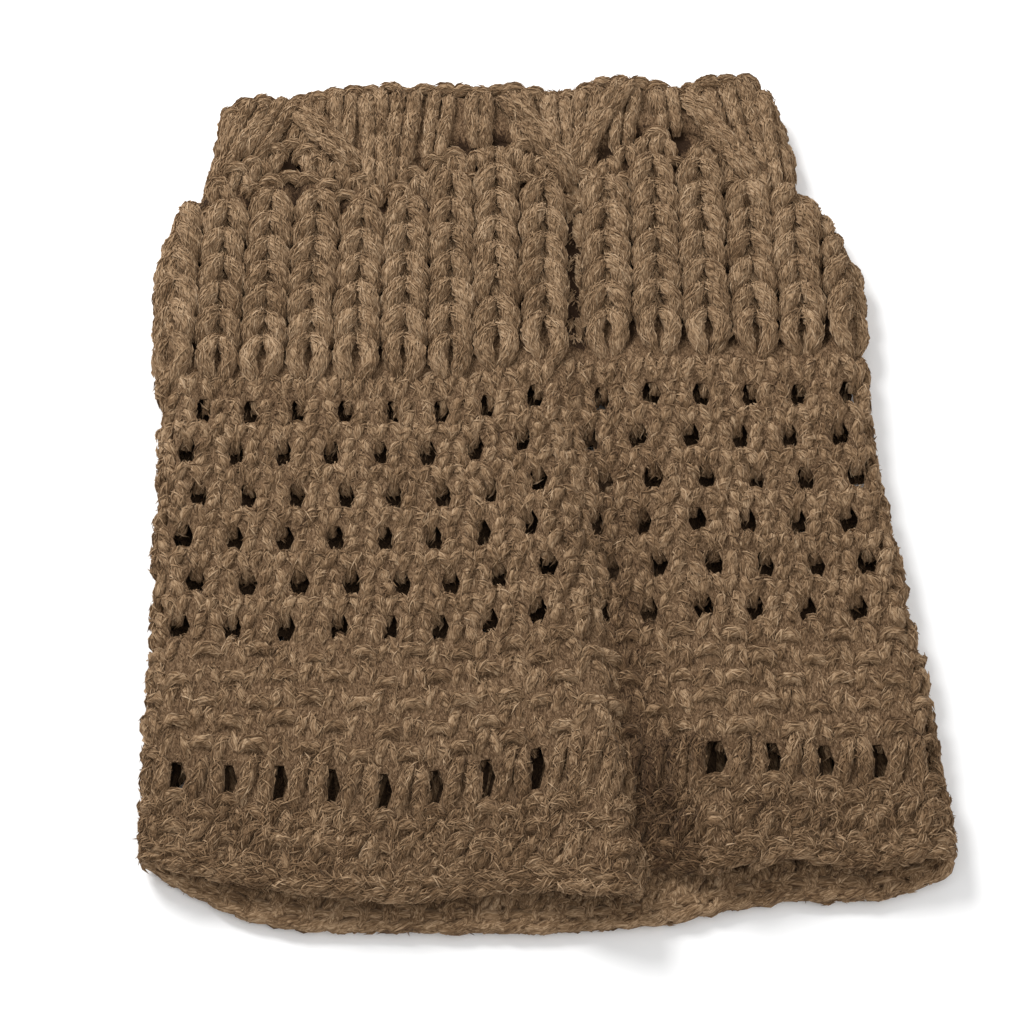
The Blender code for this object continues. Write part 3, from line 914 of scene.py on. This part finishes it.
def spreadFibres(build, given, surface, grain):  # short bent fibres that roughly follow the yarn
    vector, number = dict(data_type="FLOAT_VECTOR"), dict(data_type="FLOAT")
    dot, product = dict(operation="DOT_PRODUCT"), dict(operation="MULTIPLY")
    above, axes = dict(number, operation="GREATER_THAN"), dict(primary_axis="Z", secondary_axis="X")
    normal = build.value("GeometryNodeInputNormal")
    facing = build.value("ShaderNodeVectorMath", dot, {0: normal, 1: given["Outward"]}, "Value")
    seen = build.value("FunctionNodeCompare", above, {0: facing, 1: fibre["facing"]})
    scatter = {"Mesh": surface, "Selection": seen, "Density": given["Fibres"], "Seed": fibre["placeSeed"]}
    points = build.add("GeometryNodeDistributePointsOnFaces", inputs=scatter).outputs
    upright = build.value("FunctionNodeAxesToRotation", axes, {0: points["Normal"], 1: grain})
    spread = {0: (-1, -1, -1), "Seed": fibre["turnSeed"]}
    wander = build.value("FunctionNodeRandomValue", vector, spread)
    most = build.value("ShaderNodeCombineXYZ", inputs={1: fibre["tilt"], 2: given["Wander"]})
    angles = build.value("ShaderNodeVectorMath", product, {0: wander, 1: most})
    turn = build.value("FunctionNodeEulerToRotation", inputs={0: angles})
    local = dict(rotation_space="LOCAL")
    aimed = build.value("FunctionNodeRotateRotation", local, {0: upright, 1: turn})
    hair = build.value("GeometryNodeObjectInfo", inputs={"Object": given["Fibre"]}, output="Geometry")
    sizes = {2: fibre["smallest"], 3: fibre["largest"], "Seed": fibre["sizeSeed"]}
    size = build.value("FunctionNodeRandomValue", number, sizes, 1)
    laid = {"Points": points[0], "Instance": hair, "Rotation": aimed, "Scale": size}
    hairs = build.value("GeometryNodeInstanceOnPoints", inputs=laid)
    shade = build.value("FunctionNodeRandomValue", vector, {"Seed": fibre["shadeSeed"]})
    return build.store(hairs, "strand", shade, "FLOAT_VECTOR", "INSTANCE")


def yarnTree():
    build = Nodes("yarn along strands")
    build.socket("Geometry", "NodeSocketGeometry")
    ids = dict(
        sides=build.socket("Sides", "NodeSocketInt", 6),
        rings=build.socket("Rings", "NodeSocketInt", 8),
        fibres=build.socket("Fibres", "NodeSocketFloat", 0.0),
        wander=build.socket("Wander", "NodeSocketFloat", 0.6),
        fibre=build.socket("Fibre", "NodeSocketObject"),
        outward=build.socket("Outward", "NodeSocketVector"),
        material=build.socket("Material", "NodeSocketMaterial"),
    )
    build.socket("Geometry", "NodeSocketGeometry", output=True)
    given = build.add("NodeGroupInput").outputs
    surface, grain = sweepYarn(build, given)
    hairs = spreadFibres(build, given, surface, grain)
    joined = build.add("GeometryNodeJoinGeometry")
    for part in (hairs, surface):
        build.tree.links.new(part, joined.inputs[0])
    real = build.value("GeometryNodeRealizeInstances", inputs={"Geometry": joined.outputs[0]})
    paint = {"Geometry": real, "Material": given["Material"]}
    build.add("NodeGroupOutput", inputs={0: build.value("GeometryNodeSetMaterial", inputs=paint)})
    return build.tree, ids


yarnNodes, yarnInputs = yarnTree()


def sweep(skein, outward, sidesCount, rings, fibres, wander):
    mesh = bpy.data.meshes.new(skein.name + "Strands")
    mesh.from_pydata(skein.points, skein.edges, [])
    for name, values in (("thick", skein.radii), ("tint", skein.tints), ("start", skein.starts)):
        mesh.attributes.new(name, "FLOAT", "POINT").data.foreach_set("value", values)
    strands = addObject(skein.name + "Strands", mesh)
    modifier = strands.modifiers.new("yarn", "NODES")
    modifier.node_group = yarnNodes
    inputs = dict(sides=sidesCount, rings=rings, fibres=fibres, wander=wander, fibre=fibreObject)
    for name, value in dict(inputs, outward=(0.0, 0.0, outward), material=yarn).items():
        modifier[yarnInputs[name]] = value
    solid = bpy.data.meshes.new_from_object(strands.evaluated_get(bpy.context.evaluated_depsgraph_get()))
    bpy.data.objects.remove(strands)
    solid.name = skein.name
    for name in ("thick", "start"):
        if name in solid.attributes:
            solid.attributes.remove(solid.attributes[name])
    piece = addObject(skein.name, solid)
    solid.calc_loop_triangles()
    print(skein.name, len(solid.loop_triangles), "triangles")
    return piece


finish = dict(  # sides and rings of the yarn, loose fibres on a square metre and how they stray
    FanBand=(7, 8, 1700000.0, 0.6), RibCuff=(8, 8, 1700000.0, 0.6),
    LaceBody=(5, 6, 1050000.0, 1.0), HemBorder=(5, 7, 1900000.0, 1.0),
)
backFibres = 0.2  # share of the front's fibres

for layer, outward in (("front", 1.0), ("back", -1.0)):
    for zone, knit in knitters.items():
        sidesCount, rings, fibres, wander = finish[zone]
        if layer == "back":
            fibres *= backFibres
        piece = sweep(knit(layer), outward, sidesCount, rings, fibres, wander)
        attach(piece, "root")
        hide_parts(f"{layer}_{nodeOf[zone]}")
print("yarn knitted")

# The thin cloth inside the yarn, one tube with the eyelets left open

shell = dict(
    thickness=0.7, level=-40.0, edgeInset=2.4, topInset=5.4, seedInset=1.5, holeHalf=3.1,
    bandAt=(0, 0.25, 0.5, 0.65, 0.8, 0.9), ribAt=(0, 0.05, 0.1, 0.15, 0.2, 0.4, 0.7, 0.9),
    seedAt=(0.1, 0.5, 0.85), postAt=(0.05, 0.2, 0.35), hemAt=(0.6, 0.8, 1.0),
    narrow=(0.0, 0.24, 0.41, 0.59, 0.76), wide=(0.0, 0.16, 0.3, 0.7, 0.84),
    ribbed=(0.0, 0.18, 0.4, 0.6, 0.82), ribFrom=0.4, ribDrop=1.2,
    # deepShade and valleyShade: painted shade in the rib's crease, the small holes and the crease valley
    creaseSpread=2.6, creaseDrop=0.3, pitSpread=1.2, pitDrop=1.4, deepShade=2.0, valleyShade=0.6,
)
shellLift = dict(  # of the front and of the back
    band=(0.9, -0.2), rib=(0.6, -0.4), lace=(1.15, -1.5), seed=(0.9, -1.2), post=(0.8, -1.3),
    hem=(0.8, 0.1),
)


def shellLevels(layer):  # heights along the tube: zone, shares across a column, shift, hole below or not
    top = lambda x: along(topEdge, x) - shell["topInset"]
    plain, opened, ribbed = shell["narrow"], shell["wide"], shell["ribbed"]
    levels = []
    for s in shell["bandAt"]:
        levels.append((lambda x, s=s: mix(top(x), footOf(x), s), "band", plain, 0.0, False))
    for s in shell["ribAt"]:
        levels.append((lambda x, s=s: mix(footOf(x), cuffEnd(x), s), "rib", ribbed, 0.0, False))
    levels.append((cuffEnd, "lace", plain, 0.0, False))
    for row in range(rows["eyeletRows"]):
        centre = eyeletCentre(layer, row)
        shift = columns["zigzag"] * (1 if row % 2 == 0 else -1)
        for half, across, hole in ((1, plain, True), (0, opened, True), (-1, plain, False)):
            y = centre + half * shell["holeHalf"]
            levels.append((lambda x, y=y: y + rise(x), "lace", across, shift, hole))
    seedTop = rows["seedStart"] - shell["seedInset"]
    for s in shell["seedAt"]:
        levels.append((lambda x, s=s: mix(seedTop + rise(x), bodyEnd(x), s), "seed", plain, 0.0, False))
    end = lambda x: hemEnd(layer, x) + shell["edgeInset"]
    for s, across, hole in zip(shell["postAt"], (plain, opened, plain), (True, True, False)):
        levels.append((lambda x, s=s: mix(bodyEnd(x), end(x), s), "post", across, columns["zigzag"], hole))
    for s in shell["hemAt"]:
        levels.append((lambda x, s=s: mix(bodyEnd(x), end(x), s), "hem", plain, columns["zigzag"], False))
    return levels


def shellPoint(layer, number, step, level, zone, shift):  # its place on the cloth, lift and shade
    y = level(mix(*column(layer, number, shell["level"]), step))
    x = mix(*column(layer, number, y), step) + shift
    lift, depthAndPaintedShade = shellLift[zone][0], 0.0
    # in the rib, the gaps between columns and the crease sink, and are painted darker as painted shade
    if zone == "rib":
        depthAndPaintedShade = max(abs(step - 0.5) * 2 - shell["ribFrom"], 0.0) / (1 - shell["ribFrom"])
        inCrease = bell(x - creaseX, shell["creaseSpread"]) if layer == "front" else 0.0
        lift -= shell["ribDrop"] * depthAndPaintedShade + shell["creaseDrop"] * inCrease
        depthAndPaintedShade += shell["deepShade"] * inCrease
    else:
        x += columns["eyeletOffset"]
        x += drift(layer, x, y)
    if layer == "front":  # the small holes under the arches
        spread = shell["pitSpread"]
        pit = sum(bell(math.hypot(x - hx, y - hy), reach * spread) for hx, hy, reach in crownHoles)
        lift -= shell["pitDrop"] * pit
        # the small holes and the crease valley are painted darker, as painted shade
        depthAndPaintedShade += shell["deepShade"] * pit + shell["valleyShade"] * valleyShadeMask(x, y)
    return x, y, lift, depthAndPaintedShade


def shellGrid():
    grid, holes, sunk = [], set(), []
    levels = {layer: shellLevels(layer) for layer in ("front", "back")}
    for row in range(len(levels["front"])):
        ring = []
        for layer in ("front", "back"):
            level, zone, across, shift, hole = levels[layer][row]
            numbers = range(columnCount(layer))
            for number in numbers if layer == "front" else reversed(numbers):
                steps = across if layer == "front" else [1 - s for s in across]
                for k, step in enumerate(steps):
                    x, y, lift, depthAndPaintedShade = shellPoint(layer, number, step, level, zone, shift)
                    ring.append(place(layer, x, y, lift, shellLift[zone][1]))
                    sunk.append(depthAndPaintedShade)
                    if hole and k == 2 and not (zone == "post" and inClosedCell(layer, x)):
                        holes.add((row, len(ring) - 1))
        grid.append(ring)
    return grid, holes, sunk


def makeShell():
    grid, holes, sunk = shellGrid()
    count = len(grid[0])
    bm = bmesh.new()
    verts = [[bm.verts.new([c * mm for c in point]) for point in ring] for ring in grid]
    for row in range(len(grid) - 1):
        for i in range(count):
            if (row, i) not in holes:
                j = (i + 1) % count
                bm.faces.new((verts[row][i], verts[row + 1][i], verts[row + 1][j], verts[row][j]))
    mesh = bpy.data.meshes.new("innerCloth")
    bm.to_mesh(mesh)
    bm.free()
    # painted shade of the sunk gaps, crease, holes and valley, for the cloth's material
    mesh.attributes.new("sunk", "FLOAT", "POINT").data.foreach_set("value", sunk)
    mesh.materials.append(outerCloth)
    mesh.materials.append(shadedInnerFace)
    for polygon in mesh.polygons:
        polygon.use_smooth = True
    piece = addObject("innerCloth", mesh)
    wall = piece.modifiers.new("wall", "SOLIDIFY")
    wall.thickness = shell["thickness"] * mm
    wall.offset = 0.0
    # the inner side takes the darker cloth, painted shade
    wall.material_offset = 1
    return piece


cloth = makeShell()
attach(cloth, "root")
print("inner cloth made")

# Floor, light and camera

studio = dict(
    floor=linear(252, 252, 252), floorRoughness=0.9, floorSize=6.0, floorDrop=0.0004, ambient=0.7,
)
lights = dict(  # place, width and power
    key=((-0.42, 0.5, 0.62), 0.4, 7.5),
    fill=((0.7, -0.6, 1.2), 0.9, 3.5),
)
camera = dict(lens=86.9, sensor=36.0, distance=534.7, elevation=60.0, target=(-3.5, -11.0, 0.0))


def makeFloor():
    bpy.ops.mesh.primitive_plane_add(size=studio["floorSize"], location=(0, 0, -studio["floorDrop"]))
    floor = bpy.context.object
    floor.name = "floor"
    paper = Shader("pale paper")
    paper.surface.inputs["Base Color"].default_value = (*studio["floor"], 1.0)
    paper.surface.inputs["Roughness"].default_value = studio["floorRoughness"]
    floor.data.materials.append(paper.material)


def makeLight(name):
    spot, size, power = lights[name]
    light = bpy.data.lights.new(name, "AREA")
    light.shape = "DISK"
    light.size, light.energy = size, power
    lamp = addObject(name, light)
    lamp.location = spot
    lamp.rotation_euler = (-Vector(spot)).to_track_quat("-Z", "Y").to_euler()


def makeCamera():
    lens = bpy.data.cameras.new("camera")
    lens.lens, lens.sensor_width = camera["lens"], camera["sensor"]
    view = addObject("camera", lens)
    tilt = math.radians(camera["elevation"])
    target = Vector(camera["target"]) * mm
    view.location = target + Vector((0, -math.cos(tilt), math.sin(tilt))) * camera["distance"] * mm
    view.rotation_euler = (math.pi / 2 - tilt, 0, 0)
    bpy.context.scene.camera = view


makeFloor()
for lightName in lights:
    makeLight(lightName)
world = bpy.data.worlds.new("studio")
world.use_nodes = True
background = world.node_tree.nodes["Background"].inputs
background["Color"].default_value = (1, 1, 1, 1)
background["Strength"].default_value = studio["ambient"]
bpy.context.scene.world = world
bpy.context.scene.view_settings.view_transform = "Standard"
makeCamera()
print("studio set")
